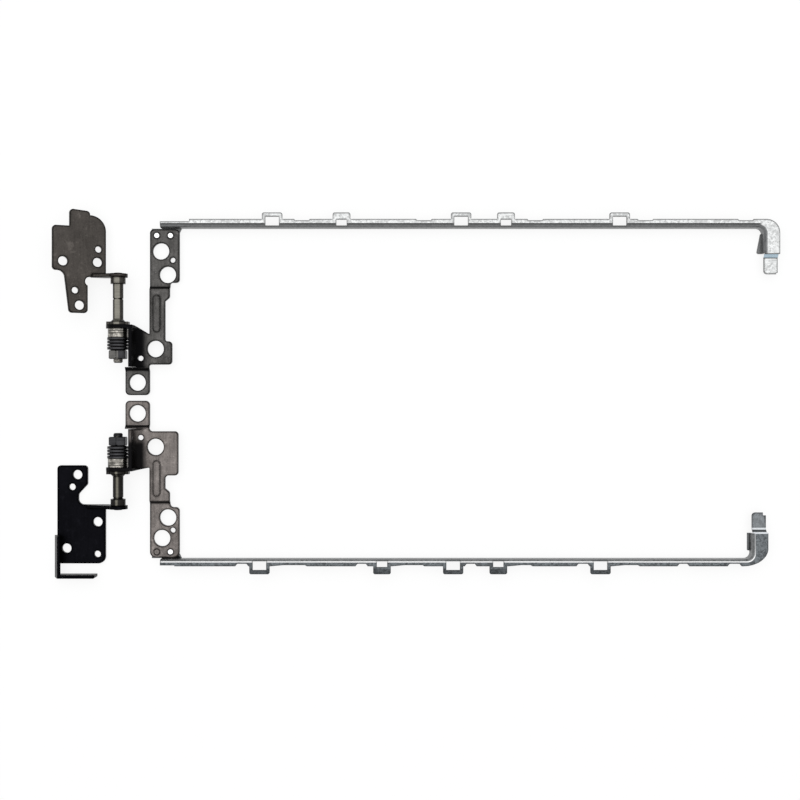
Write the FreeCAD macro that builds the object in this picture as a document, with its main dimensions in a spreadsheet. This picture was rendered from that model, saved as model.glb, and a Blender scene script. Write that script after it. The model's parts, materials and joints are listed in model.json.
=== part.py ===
import FreeCAD, Part
import math
import os
import Sketcher

# A pair of laptop lid hinges. Lengths are in millimetres and angles in degrees.
# The rails lie along X and the two shafts share one line along Y, at the height axis_height above the floor.
# Each hinge is drawn by two coordinates in plan: across, from the shaft's line towards the rail's far end,
# and out, from the display ear's seat towards the rail. The left hinge's out is +Y and the right one's -Y.

COMMON_SIZES = [
    ("axis_place", -100.6),
    ("axis_height", 5.0),
    ("bracket_sheet", 1.2),
    ("rail_sheet", 0.7),
    ("bend_radius", 0.5),
    ("corner_radius", 1.2),
    ("running_gap", 0.05),
    ("key_gap", 0.03),
    # Shaft
    ("shaft_diameter", 3.5),
    ("shaft_flat_depth", 0.13),
    ("journal_diameter", 3.2),
    ("thread_diameter", 3.0),
    ("thread_overhang", 1.3),
    ("thread_chamfer", 0.3),
    ("collar_diameter", 5.0),
    ("collar_length", 2.2),
    ("cone_diameter", 5.0),
    ("cone_length", 0.8),
    ("groove_depth", 0.4),
    ("groove_width", 0.35),
    ("tenon_diameter", 3.0),
    ("tenon_head", 0.3),
    # Friction stack
    ("stop_washer_thick", 1.1),
    ("stop_washer_diameter", 6.0),
    ("stop_lobe_span", 7.4),
    ("stop_lobe_width", 2.8),
    ("thin_washer_thick", 0.8),
    ("pressure_washer_thick", 1.45),
    ("washer_diameter", 6.8),
    ("spring_diameter", 7.2),
    ("spring_thick", 0.8),
    ("spring_pitch", 1.08),
    ("spring_dish", 0.3),
    ("nut_across_flats", 5.6),
    ("nut_height", 2.9),
    ("nut_chamfer", 0.35),
    # Ears
    ("display_ear_radius", 4.0),
    ("base_ear_radius", 3.2),
    # Display brackets
    ("wing_clearance", 0.5),
    ("wing_radius", 4.4),
    ("wing_height", 8.3),
    ("wing_slot", 0.5),
    ("strip_lift", 1.0),
    ("joggle_run", 1.1),
    ("screw_hole_diameter", 5.6),
    ("pilot_hole_diameter", 1.75),
    ("strip_left", 10.15),
    ("strip_right", 15.45),
    ("strip_step_right", 17.0),
    ("strip_step_run", 1.3),
    ("land_right", 20.15),
    ("land_shoulder", 1.2),
    ("bead_centre", 12.6),
    ("bead_width", 2.5),
    ("bead_height", 0.4),
    ("lobe_hole_across", 12.25),
    ("lobe_hole_out", -8.0),
    ("lobe_start", -13.3),
    ("wing_hole_across", 7.3),
    ("wing_hole_out", -11.2),
    ("tab_left", 1.8),
    ("tab_right", 10.0),
    ("tab_start", -14.4),
    ("tab_end", -23.7),
    ("tab_hole_across", 5.9),
    ("tab_hole_out", -19.4),
    ("tab_corner_radius", 1.5),
    ("rivet_near_across", 12.45),
    ("rivet_far_across", 17.1),
    ("rivet_diameter", 1.9),
    ("rivet_proud", 0.15),
    # Rails
    ("rail_height", 4.5),
    ("rail_start", 14.0),
    ("rail_gap", 0.35),
    ("rail_bend_radius", 1.3),
    ("flange_width", 2.8),
    ("end_flange_width", 2.0),
    ("clip_reach", 5.0),
    ("loop_width", 6.9),
    ("loop_window_width", 4.6),
    ("loop_window_reach", 3.6),
    ("lock_width", 6.0),
    ("lock_window_width", 3.5),
    ("lock_window_reach", 2.6),
    ("window_start", 0.45),
    ("notch_depth", 0.45),
    ("rivet_tab_depth", 4.0),
    ("rivet_tab_inset", 1.3),
    ("rivet_tab_slant", 2.2),
    ("hook_width", 5.2),
    ("hook_radius", 4.6),
    ("hook_bend_radius", 2.0),
    ("hook_reach", 15.8),
    ("hook_joggle", 9.0),
    ("hook_joggle_run", 1.3),
    ("hook_drop", 1.2),
    ("hook_tip_width", 4.7),
    ("hook_web_end", 8.6),
    ("hook_lug_depth", 1.7),
    ("hook_lug_corner_radius", 0.6),
]

LEFT_SIZES = [
    ("left_ear_place", 23.5),
    ("left_base_angle", 25.0),
    ("left_shaft_reach", 13.9),
    ("left_groove_place", 8.8),
    ("left_wing_slant", 2.8),
    ("left_inner_corner_radius", 0.8),
    ("left_land_corner_radius", 1.3),
    ("left_land_start", 13.4),
    ("left_land_length", 19.4),
    ("left_land_hole_near_across", 16.2),
    ("left_land_hole_near_out", 3.9),
    ("left_land_hole_far_across", 13.9),
    ("left_land_hole_far_out", 11.9),
    ("left_pilot_across", 17.9),
    ("left_pilot_out", 8.9),
    ("left_rivet_inset", 2.1),
    ("left_strip_step_out", 8.2),
    ("left_lobe_right", 17.8),
    ("left_lobe_end", -5.4),
    ("left_bead_start", -2.3),
    ("left_bead_end", 10.4),
    ("left_rail_length", 210.0),
    ("left_rail_step", 9.9),
    ("left_loop_near", 38.0),
    ("left_loop_middle", 102.0),
    ("left_loop_far", 155.7),
    ("left_lock_near", 61.5),
    ("left_lock_far", 117.2),
    ("left_notch_width", 5.4),
    ("left_notch_first", 48.1),
    ("left_notch_second", 89.4),
    ("left_notch_third", 127.1),
    ("left_notch_fourth", 164.4),
    ("left_notch_fifth", 198.4),
    ("left_lug_length", 6.8),
    ("left_lug_end_depth", 0.4),
    ("left_lug_end_radius", 0.3),
    ("left_tip_notch", 0.5),
    # Left base plate, from the shaft's line: across values grow away from the rail's side
    ("left_plate_near", 3.3),
    ("left_plate_far", 21.1),
    ("left_plate_end", 39.0),
    ("left_plate_end_slant", 0.6),
    ("left_plate_shoulder", 33.2),
    ("left_plate_lobe_near", 8.6),
    ("left_plate_lobe_far", 15.4),
    ("left_plate_arc_end", 31.8),
    ("left_plate_foot", 18.2),
    ("left_leg_near", 9.4),
    ("left_leg_far", 17.3),
    ("left_leg_tip_far", 15.6),
    ("left_relief_depth", 2.8),
    ("left_leg_end", 4.0),
    ("left_leg_fillet_radius", 2.4),
    ("left_ear_root", 8.0),
    ("left_screw_a_across", 17.6),
    ("left_screw_a_out", 21.3),
    ("left_screw_b_across", 6.1),
    ("left_screw_b_out", 21.3),
    ("left_screw_c_across", 12.1),
    ("left_screw_c_out", 6.6),
    ("left_screw_diameter", 3.1),
    ("left_pin_a_across", 5.8),
    ("left_pin_a_out", 25.7),
    ("left_pin_b_across", 13.6),
    ("left_pin_b_out", 11.6),
    ("left_pin_diameter", 2.15),
]

RIGHT_SIZES = [
    ("right_ear_place", 25.8),
    ("right_base_angle", 0.0),
    ("right_shaft_reach", 9.5),
    ("right_groove_place", 9.1),
    ("right_wing_slant", 0.9),
    ("right_inner_corner_radius", 1.2),
    ("right_land_corner_radius", 1.9),
    ("right_land_start", 11.4),
    ("right_land_length", 18.3),
    ("right_land_hole_near_across", 16.3),
    ("right_land_hole_near_out", 4.7),
    ("right_land_hole_far_across", 14.25),
    ("right_land_hole_far_out", 11.7),
    ("right_pilot_across", 17.95),
    ("right_pilot_out", 9.0),
    ("right_rivet_inset", 1.9),
    ("right_strip_step_out", 6.1),
    ("right_lobe_right", 19.9),
    ("right_lobe_end", 1.7),
    ("right_bead_start", -3.4),
    ("right_bead_end", 8.8),
    ("right_rail_length", 206.0),
    ("right_rail_step", 4.9),
    ("right_loop_near", 33.7),
    ("right_loop_middle", 99.3),
    ("right_loop_far", 149.2),
    ("right_lock_near", 75.2),
    ("right_lock_far", 114.6),
    ("right_notch_width", 4.2),
    ("right_notch_first", 27.4),
    ("right_notch_second", 68.0),
    ("right_notch_third", 105.4),
    ("right_notch_fourth", 143.2),
    ("right_notch_fifth", 176.6),
    ("right_lug_length", 6.0),
    ("right_lug_end_depth", 1.7),
    ("right_lug_end_radius", 1.5),
    ("right_tip_notch", 1.0),
    # Right base plate
    ("right_plate_near", 5.2),
    ("right_plate_far", 21.6),
    ("right_plate_end", 31.8),
    ("right_plate_corner_radius", 2.4),
    ("right_plate_lobe_start", -1.65),
    ("right_plate_lobe_near", 11.3),
    ("right_plate_lobe_end", 4.8),
    ("right_neck_near", 14.4),
    ("right_neck_start", 8.1),
    ("right_neck_radius", 1.9),
    ("right_ear_root", 11.4),
    ("right_screw_a_across", 14.7),
    ("right_screw_a_out", 1.5),
    ("right_screw_b_across", 7.8),
    ("right_screw_b_out", 17.6),
    ("right_screw_c_across", 18.4),
    ("right_screw_c_out", 26.6),
    ("right_screw_diameter", 3.2),
    ("right_pin_a_across", 16.5),
    ("right_pin_a_out", 5.7),
    ("right_pin_b_across", 7.9),
    ("right_pin_b_out", 28.6),
    ("right_pin_diameter", 2.25),
    ("flange_height", 4.2),
    ("flange_lean", 1.9),
    ("flange_start", 22.2),
    ("flange_return_gap", 3.6),
    ("flange_return_reach", 14.6),
]

SHEET_NAME = "Sizes"
MATCH = 0.02
SPRING_COUNT = 4
HEXAGON_HALF_TURN = math.radians(30)

doc = FreeCAD.newDocument("laptop_hinges")
sheet = doc.addObject("Spreadsheet::Sheet", SHEET_NAME)


class Size:
    """A number together with the spreadsheet expression that gives it."""

    def __init__(self, value, text):
        self.value = value
        self.text = text

    @staticmethod
    def of(item):
        if isinstance(item, Size):
            return item
        return Size(float(item), f"({float(item)!r})")

    def __add__(self, other):
        other = Size.of(other)
        return Size(self.value + other.value, f"({self.text} + {other.text})")

    def __sub__(self, other):
        other = Size.of(other)
        return Size(self.value - other.value, f"({self.text} - {other.text})")

    def __mul__(self, other):
        other = Size.of(other)
        return Size(self.value * other.value, f"({self.text} * {other.text})")

    def __truediv__(self, other):
        other = Size.of(other)
        return Size(self.value / other.value, f"({self.text} / {other.text})")

    def __radd__(self, other):
        return Size.of(other) + self

    def __rsub__(self, other):
        return Size.of(other) - self

    def __rmul__(self, other):
        return Size.of(other) * self

    def __neg__(self):
        return Size(-self.value, f"(-{self.text})")


VALUES = {}
for row, (alias, value) in enumerate(COMMON_SIZES + LEFT_SIZES + RIGHT_SIZES, start=1):
    sheet.set(f"A{row}", alias)
    sheet.set(f"B{row}", str(value))
    sheet.setAlias(f"B{row}", alias)
    VALUES[alias] = value
doc.recompute()


def size(alias):
    return Size(VALUES[alias], f"{SHEET_NAME}.{alias}")


class Side:
    """One hinge of the pair: its name, the way its out direction points along Y, and its own sizes."""

    def __init__(self, name, out):
        self.name = name
        self.out = out

    def size(self, alias):
        return size(f"{self.name}_{alias}")


LEFT = Side("left", 1)
RIGHT = Side("right", -1)


def bind(item, path, amount):
    item.setExpression(path, Size.of(amount).text)


def new_body(side, piece):
    body = doc.addObject("PartDesign::Body", f"{side.name}_{piece}")
    body.Label = f"{side.name}_{piece}"
    return body


def place(body, side, height, turn=None):
    """Put a piece drawn from the ear's seat on the shaft's line into the pair's frame."""
    bind(body, "Placement.Base.x", size("axis_place"))
    bind(body, "Placement.Base.y", side.out * side.size("ear_place"))
    bind(body, "Placement.Base.z", height)
    if turn is not None:
        body.Placement.Rotation = FreeCAD.Rotation(FreeCAD.Vector(0, 1, 0), turn.value)
        bind(body, "Placement.Rotation.Angle", turn)
    doc.recompute()


def new_sketch(body, name, role, offset=0.0):
    sketch = body.newObject("Sketcher::SketchObject", name)
    planes = [plane for plane in body.Origin.OriginFeatures if plane.Role == role]
    sketch.AttachmentSupport = [(planes[0], "")]
    sketch.MapMode = "FlatFace"
    bind(sketch, "AttachmentOffset.Base.z", offset)
    return sketch


def pin(sketch, geometry, point, across, up):
    """Tie a point of a sketch to the sketch's origin by two sizes."""
    for kind, amount in (("DistanceX", Size.of(across)), ("DistanceY", Size.of(up))):
        number = sketch.addConstraint(Sketcher.Constraint(kind, -1, 1, geometry, point, amount.value))
        bind(sketch, f"Constraints[{number}]", amount)


def draw_outline(sketch, corners):
    """Draw a closed chain of corners (across, up); a corner (across, up, centre, turn) starts an arc."""
    points = [(Size.of(corner[0]), Size.of(corner[1])) for corner in corners]
    vectors = [FreeCAD.Vector(across.value, up.value, 0) for across, up in points]
    ends = []
    for index, corner in enumerate(corners):
        start = vectors[index]
        finish = vectors[(index + 1) % len(corners)]
        if len(corner) == 2:
            line = sketch.addGeometry(Part.LineSegment(start, finish), False)
            ends.append((line, 1, 2))
            continue
        centre = FreeCAD.Vector(Size.of(corner[2][0]).value, Size.of(corner[2][1]).value, 0)
        circle = Part.Circle(centre, FreeCAD.Vector(0, 0, 1), (start - centre).Length)
        first, last = (start, finish) if corner[3] > 0 else (finish, start)
        curve = Part.ArcOfCircle(circle, circle.parameter(first), circle.parameter(last))
        arc = sketch.addGeometry(curve, False)
        ends.append((arc, 1, 2) if corner[3] > 0 else (arc, 2, 1))
    for index in range(len(corners)):
        edge, _, tail = ends[index]
        after, head, _ = ends[(index + 1) % len(corners)]
        sketch.addConstraint(Sketcher.Constraint("Coincident", edge, tail, after, head))
    for index, corner in enumerate(corners):
        pin(sketch, ends[index][0], ends[index][1], *points[index])
        if len(corner) > 2:
            chord = vectors[(index + 1) % len(corners)] - vectors[index]
            steep = abs(chord.y) > abs(chord.x)
            amount = Size.of(corner[2][0] if steep else corner[2][1])
            kind = "DistanceX" if steep else "DistanceY"
            fix = Sketcher.Constraint(kind, -1, 1, ends[index][0], 3, amount.value)
            bind(sketch, f"Constraints[{sketch.addConstraint(fix)}]", amount)


def draw_circle(sketch, across, up, diameter):
    centre = FreeCAD.Vector(Size.of(across).value, Size.of(up).value, 0)
    radius = Size.of(diameter) / 2
    circle = sketch.addGeometry(Part.Circle(centre, FreeCAD.Vector(0, 0, 1), radius.value), False)
    pin(sketch, circle, 3, across, up)
    number = sketch.addConstraint(Sketcher.Constraint("Radius", circle, radius.value))
    bind(sketch, f"Constraints[{number}]", radius)


def draw_box(sketch, left, right, bottom, top):
    draw_outline(sketch, [(left, bottom), (right, bottom), (right, top), (left, top)])


def add_pad(body, sketch, length, backward=False):
    pad = body.newObject("PartDesign::Pad", "Pad")
    pad.Profile = sketch
    pad.Reversed = backward
    bind(pad, "Length", length)
    doc.recompute()
    return pad


def cut_through(body, sketch):
    pocket = body.newObject("PartDesign::Pocket", "Cut")
    pocket.Profile = sketch
    pocket.Type = "ThroughAll"
    pocket.Midplane = True
    doc.recompute()
    return pocket


def cut_depth(body, sketch, depth, backward=False):
    pocket = body.newObject("PartDesign::Pocket", "Recess")
    pocket.Profile = sketch
    pocket.Reversed = backward
    bind(pocket, "Length", depth)
    doc.recompute()
    return pocket


def revolve(body, sketch, kind="PartDesign::Revolution"):
    """Turn a profile drawn beside the sketch's horizontal axis a full turn about the shaft's line."""
    turned = body.newObject(kind, "Turned")
    turned.Profile = sketch
    turned.ReferenceAxis = (sketch, ["H_Axis"])
    turned.Angle = 360.0
    doc.recompute()
    return turned


def round_edges(body, test, radius):
    """Fillet every edge of the body's last feature that the test accepts."""
    base = body.Tip
    names = [f"Edge{number}" for number, edge in enumerate(base.Shape.Edges, start=1) if test(edge)]
    fillet = body.newObject("PartDesign::Fillet", "Round")
    fillet.Base = (base, names)
    bind(fillet, "Radius", radius)
    doc.recompute()
    return fillet


def ease_edges(body, test, width):
    """Chamfer every edge of the body's last feature that the test accepts."""
    base = body.Tip
    names = [f"Edge{number}" for number, edge in enumerate(base.Shape.Edges, start=1) if test(edge)]
    chamfer = body.newObject("PartDesign::Chamfer", "Ease")
    chamfer.Base = (base, names)
    bind(chamfer, "Size", width)
    doc.recompute()
    return chamfer


def upright_at(*spots):
    """A test for edges that stand along Z at the given plan points."""
    places = [(Size.of(across).value, Size.of(along).value) for across, along in spots]

    def test(edge):
        low, high = edge.Vertexes[0].Point, edge.Vertexes[-1].Point
        if abs(low.x - high.x) > MATCH or abs(low.y - high.y) > MATCH or abs(low.z - high.z) < MATCH:
            return False
        return any(abs(low.x - x) < MATCH and abs(low.y - y) < MATCH for x, y in places)

    return test


def plan(side, corners):
    """Plan points in the pair's frame from (across, out) points of one hinge."""
    flipped = []
    for corner in corners:
        along = side.out * Size.of(corner[1])
        if len(corner) == 2:
            flipped.append((corner[0], along))
        else:
            centre = (corner[2][0], side.out * Size.of(corner[2][1]))
            flipped.append((corner[0], along, centre, corner[3] * side.out))
    return flipped


def ear_sketch(body, name, side, out):
    """A sketch that stands across the shaft's line at a distance out from the ear's seat."""
    return new_sketch(body, name, "XZ_Plane", -side.out * Size.of(out))


def pad_outward(body, sketch, side, length):
    return add_pad(body, sketch, length, backward=side.out > 0)


def shaft_sketch(body, name):
    """A sketch in the plane of the shaft's line, with its horizontal axis along Y."""
    return new_sketch(body, name, "YZ_Plane")


def stack_places():
    """Distances inward from the ear's seat to the start of each piece of the friction stack."""
    places = {"ear_washer": size("bracket_sheet")}
    places["shaft_washer"] = places["ear_washer"] + size("thin_washer_thick")
    places["pressure_washer"] = places["shaft_washer"] + size("thin_washer_thick")
    places["springs"] = places["pressure_washer"] + size("pressure_washer_thick")
    springs = (SPRING_COUNT - 1) * size("spring_pitch") + size("spring_thick") + size("spring_dish")
    places["nut"] = places["springs"] + springs
    places["thread_end"] = places["nut"] + size("nut_height") + size("thread_overhang")
    return places


STACK = stack_places()


def make_shaft(side):
    body = new_body(side, "shaft")
    reach = side.size("shaft_reach")
    ear_in = reach + size("collar_length")
    ear_out = ear_in + size("bracket_sheet")
    stop_seat = size("stop_washer_thick")
    cone_end = stop_seat + size("cone_length")
    groove = side.size("groove_place")
    half = {alias: size(alias) / 2 for alias in (
        "shaft_diameter", "journal_diameter", "thread_diameter", "collar_diameter", "cone_diameter",
        "tenon_diameter", "groove_width")}
    body_radius = half["shaft_diameter"]
    thread = half["thread_diameter"]
    tip = -STACK["thread_end"]
    profile = [
        (tip, 0.0),
        (tip, thread - size("thread_chamfer")),
        (tip + size("thread_chamfer"), thread),
        (-STACK["nut"], thread),
        (-STACK["nut"], half["journal_diameter"]),
        (stop_seat, half["journal_diameter"]),
        (stop_seat, half["cone_diameter"]),
        (cone_end, body_radius),
        (groove - half["groove_width"], body_radius),
        (groove, body_radius - size("groove_depth")),
        (groove + half["groove_width"], body_radius),
        (reach, body_radius),
        (reach, half["collar_diameter"]),
        (ear_in, half["collar_diameter"]),
        (ear_in, half["tenon_diameter"]),
        (ear_out, half["tenon_diameter"]),
        (ear_out, half["tenon_diameter"] + size("tenon_head") / 2),
        (ear_out + size("tenon_head"), half["tenon_diameter"] - size("tenon_head") / 2),
        (ear_out + size("tenon_head"), 0.0),
    ]
    sketch = shaft_sketch(body, "Profile")
    draw_outline(sketch, [(side.out * along, radius) for along, radius in profile])
    revolve(body, sketch)
    # Two flats along the body and the journal key the washers that turn with the shaft.
    for level in (1, -1):
        flat = shaft_sketch(body, "Flat")
        inner = level * (half["journal_diameter"] - size("shaft_flat_depth"))
        outer = level * size("cone_diameter")
        draw_box(flat, -side.out * STACK["nut"], side.out * stop_seat, inner, outer)
        draw_box(flat, side.out * cone_end, side.out * reach, inner, outer)
        cut_through(body, flat)
    place(body, side, size("axis_height"))


def make_washer(side, piece, start, thick, keyed):
    """A flat washer of the stack: keyed washers have a hole with two flats, the others a round one."""
    body = new_body(side, piece)
    sketch = ear_sketch(body, "Rim", side, -(start + thick))
    draw_circle(sketch, 0.0, 0.0, size("washer_diameter"))
    pad_outward(body, sketch, side, thick)
    hole = ear_sketch(body, "Hole", side, 0.0)
    if keyed:
        draw_key_hole(hole)
    else:
        draw_circle(hole, 0.0, 0.0, size("journal_diameter") + 2 * size("running_gap"))
    cut_through(body, hole)
    place(body, side, size("axis_height"))


def draw_key_hole(sketch):
    """The hole of a keyed washer: a round with two flats, a key gap larger than the journal."""
    radius = size("journal_diameter") / 2 + size("key_gap")
    flat = radius - size("shaft_flat_depth")
    chord = math.sqrt(radius.value ** 2 - flat.value ** 2)
    half_chord = Size(chord, f"sqrt({radius.text} ^ 2 - {flat.text} ^ 2)")
    centre = (0.0, 0.0)
    draw_outline(sketch, [(half_chord, -flat, centre, 1), (half_chord, flat),
                          (-half_chord, flat, centre, 1), (-half_chord, -flat)])


def make_stop_washer(side):
    body = new_body(side, "stop_washer")
    thick = size("stop_washer_thick")
    disc = ear_sketch(body, "Disc", side, 0.0)
    draw_circle(disc, 0.0, 0.0, size("stop_washer_diameter"))
    pad_outward(body, disc, side, thick)
    lobes = ear_sketch(body, "Lobes", side, 0.0)
    reach = size("stop_lobe_span") / 2
    half = size("stop_lobe_width") / 2
    draw_box(lobes, -reach, reach, -half, half)
    pad_outward(body, lobes, side, thick)
    hole = ear_sketch(body, "Hole", side, 0.0)
    draw_key_hole(hole)
    cut_through(body, hole)
    place(body, side, size("axis_height"))


def make_disc_spring(side, number):
    """A dished ring whose hollow faces the nut."""
    body = new_body(side, f"disc_spring_{number}")
    rim = -(STACK["springs"] + (number - 1) * size("spring_pitch"))
    thick = size("spring_thick")
    dish = size("spring_dish")
    outer = size("spring_diameter") / 2
    inner = size("journal_diameter") / 2 + 2 * size("running_gap")
    profile = [
        (rim, outer),
        (rim - dish, inner),
        (rim - dish - thick, inner),
        (rim - thick, outer),
    ]
    sketch = shaft_sketch(body, "Section")
    draw_outline(sketch, [(side.out * along, radius) for along, radius in profile])
    revolve(body, sketch)
    place(body, side, size("axis_height"))


def make_lock_nut(side):
    body = new_body(side, "lock_nut")
    half_flats = size("nut_across_flats") / 2
    half_edge = half_flats * math.tan(HEXAGON_HALF_TURN)
    point = 2 * half_edge
    start = STACK["nut"]
    height = size("nut_height")
    hexagon = ear_sketch(body, "Hexagon", side, -(start + height))
    draw_outline(hexagon, [(half_flats, half_edge), (0.0, point), (-half_flats, half_edge),
                           (-half_flats, -half_edge), (0.0, -point), (half_flats, -half_edge)])
    pad_outward(body, hexagon, side, height)
    # Both faces are turned down at the corners.
    chamfer = size("nut_chamfer")
    reach = 2 * chamfer
    for face, inward in ((-start, -1), (-(start + height), 1)):
        corner = shaft_sketch(body, "Corner")
        draw_outline(corner, [(side.out * face, point - chamfer),
                              (side.out * face, point + reach),
                              (side.out * (face + inward * chamfer), point + reach),
                              (side.out * (face + inward * chamfer), point)])
        revolve(body, corner, "PartDesign::Groove")
    hole = ear_sketch(body, "Hole", side, 0.0)
    draw_circle(hole, 0.0, 0.0, size("thread_diameter") + 2 * size("key_gap"))
    cut_through(body, hole)
    place(body, side, size("axis_height"))


def land_end(side):
    return side.size("land_start") + side.size("land_length")


def rail_face(side):
    """Distance out to the face of the rail's web that looks at the display bracket."""
    return land_end(side) + size("rail_gap")


def make_display_bracket(side):
    """One strip of sheet: land over the rail, raised middle with bead and lobe, wing with ear, and tab."""
    body = new_body(side, "display_bracket")
    sheet_thick = size("bracket_sheet")
    low = size("rail_sheet")
    high = low + size("strip_lift")
    run = size("joggle_run")
    tab_joint = size("tab_start")
    land_start = side.size("land_start")
    far = land_end(side)
    # Side view of the strip with its two joggles
    under = [(size("tab_end"), low), (tab_joint - run, low), (tab_joint, high), (land_start - run, high),
             (land_start, low), (far, low)]
    over = [(along, level + sheet_thick) for along, level in reversed(under)]
    section = new_sketch(body, "SideView", "YZ_Plane", size("tab_left"))
    draw_outline(section, [(side.out * along, level) for along, level in under + over])
    add_pad(body, section, size("land_right") - size("tab_left"))
    bends = [(side.out * along, level) for along, level in under[1:5] + over[1:5]]
    round_edges(body, lying_at(bends), size("bend_radius"))
    # Plan view: what lies outside the outline is cut away
    wing_start = wing_tangent()
    slot = tab_joint + size("wing_slot") / 2
    lobe_right = side.size("lobe_right")
    lobe_end = side.size("lobe_end")
    step = side.size("strip_step_out")
    shoulder = land_start + size("land_shoulder")
    strip_left = size("strip_left")
    strip_right = size("strip_right")
    step_right = size("strip_step_right")
    outline = [
        (size("tab_left"), size("tab_end")), (size("tab_right"), size("tab_end")),
        (size("tab_right"), size("lobe_start")), (lobe_right, size("lobe_start")), (lobe_right, lobe_end),
        (strip_right, lobe_end), (strip_right, step), (step_right, step + size("strip_step_run")),
        (step_right, shoulder), (size("land_right"), shoulder), (size("land_right"), far),
        (strip_left, far), (strip_left, -side.size("wing_slant")), (wing_start, -side.size("wing_slant")),
        (wing_start, slot), (size("tab_left"), slot),
    ]
    margin = 2 * sheet_thick
    trim = new_sketch(body, "PlanView", "XY_Plane")
    draw_outline(trim, plan(side, outline))
    draw_box(trim, size("tab_left") - margin, size("land_right") + margin,
             side.out * (size("tab_end") - margin), side.out * (far + margin))
    cut_through(body, trim)
    rounds = (
        ((3, 4, 7, 9), size("corner_radius")),
        ((10, 11), side.size("land_corner_radius")),
        ((2, 5, 8), side.size("inner_corner_radius")),
        ((0, 1), size("tab_corner_radius")),
    )
    for numbers, radius in rounds:
        round_edges(body, upright_at(*plan(side, [outline[index] for index in numbers])), radius)
    add_wing(body, side, high, slot)
    add_bead(body, side, high)
    cut_display_holes(body, side, high)
    place(body, side, 0.0)


def lying_at(spots):
    """A test for edges that lie along X at the given (along, level) points."""
    places = [(Size.of(along).value, Size.of(level).value) for along, level in spots]

    def test(edge):
        first, last = edge.Vertexes[0].Point, edge.Vertexes[-1].Point
        if abs(first.y - last.y) > MATCH or abs(first.z - last.z) > MATCH:
            return False
        return any(abs(first.y - y) < MATCH and abs(first.z - z) < MATCH for y, z in places)

    return test


def wing_face():
    """Distance across to the wing's face beside the springs."""
    return size("spring_diameter") / 2 + size("wing_clearance")


def wing_tangent():
    """Distance across to the line where the wing's curve leaves the flat strip."""
    return wing_face() + size("bracket_sheet") + size("wing_radius")


def add_wing(body, side, high, slot):
    """The wing curls up beside the stack, and its end carries the ear."""
    thick = size("bracket_sheet")
    face = wing_face()
    inner = face + thick
    tangent = wing_tangent()
    rise = high + thick + size("wing_radius")
    top = size("wing_height")
    centre = (tangent, rise)
    curl = ear_sketch(body, "Wing", side, slot)
    draw_outline(curl, [(tangent, high), (tangent, high + thick, centre, -1), (inner, rise), (inner, top),
                        (face, top), (face, rise, centre, 1)])
    pad_outward(body, curl, side, -slot)
    axis = size("axis_height")
    radius = size("display_ear_radius")
    ring = ear_sketch(body, "EarRing", side, -thick)
    draw_circle(ring, 0.0, axis, 2 * radius)
    pad_outward(body, ring, side, thick)
    web = ear_sketch(body, "EarWeb", side, -thick)
    draw_outline(web, [(0.0, axis - radius), (inner + thick, high + 2 * thick), (inner, top), (face, top),
                       (0.0, axis + radius)])
    pad_outward(body, web, side, thick)
    # The wing's end slants back from the ear to the strip.
    slant = new_sketch(body, "WingEnd", "XY_Plane")
    draw_outline(slant, plan(side, [(inner, 0.0), (size("strip_left"), 0.0),
                                    (size("strip_left"), -side.size("wing_slant")),
                                    (tangent, -side.size("wing_slant"))]))
    cut_through(body, slant)
    bore = ear_sketch(body, "ShaftHole", side, 0.0)
    draw_circle(bore, 0.0, axis, size("journal_diameter") + 2 * size("running_gap"))
    cut_depth(body, bore, 2 * thick, backward=side.out > 0)


def draw_slot(sketch, side, across, start, finish, width):
    """A round-ended slot along the out direction."""
    half = width / 2
    low = start + half
    high = finish - half
    draw_outline(sketch, plan(side, [(across + half, low), (across + half, high, (across, high), 1),
                                     (across - half, high), (across - half, low, (across, low), 1)]))


def add_bead(body, side, high):
    """A pressed stiffening bead: proud on the upper face and hollow below."""
    thick = size("bracket_sheet")
    height = size("bead_height")
    ends = (side.size("bead_start"), side.size("bead_end"))
    crest = new_sketch(body, "BeadCrest", "XY_Plane", high + thick)
    draw_slot(crest, side, size("bead_centre"), *ends, size("bead_width"))
    add_pad(body, crest, height)
    ease_edges(body, level_at(high + thick + height), height / 2)
    hollow = new_sketch(body, "BeadHollow", "XY_Plane", high)
    draw_slot(hollow, side, size("bead_centre"), ends[0] + height, ends[1] - height,
              size("bead_width") - 2 * height)
    cut_depth(body, hollow, height, backward=True)


def level_at(level):
    """A test for edges that lie flat at one height."""
    height = Size.of(level).value

    def test(edge):
        return abs(edge.BoundBox.ZMin - height) < MATCH and abs(edge.BoundBox.ZMax - height) < MATCH

    return test


def cut_display_holes(body, side, high):
    holes = new_sketch(body, "Holes", "XY_Plane")
    land = side.size("land_start")
    screws = [
        (size("tab_hole_across"), size("tab_hole_out")),
        (size("lobe_hole_across"), size("lobe_hole_out")),
        (side.size("land_hole_near_across"), land + side.size("land_hole_near_out")),
        (side.size("land_hole_far_across"), land + side.size("land_hole_far_out")),
    ]
    for across, out in screws:
        draw_circle(holes, across, side.out * out, size("screw_hole_diameter"))
    draw_circle(holes, side.size("pilot_across"), side.out * (land + side.size("pilot_out")),
                size("pilot_hole_diameter"))
    draw_circle(holes, size("wing_hole_across"), side.out * size("wing_hole_out"),
                size("pilot_hole_diameter"))
    for across, out in rivet_places(side):
        draw_circle(holes, across, side.out * out, size("rivet_diameter") + 2 * size("key_gap"))
    cut_through(body, holes)


def rivet_places(side):
    row = land_end(side) - side.size("rivet_inset")
    return [(size("rivet_near_across"), row), (size("rivet_far_across"), row)]


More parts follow.
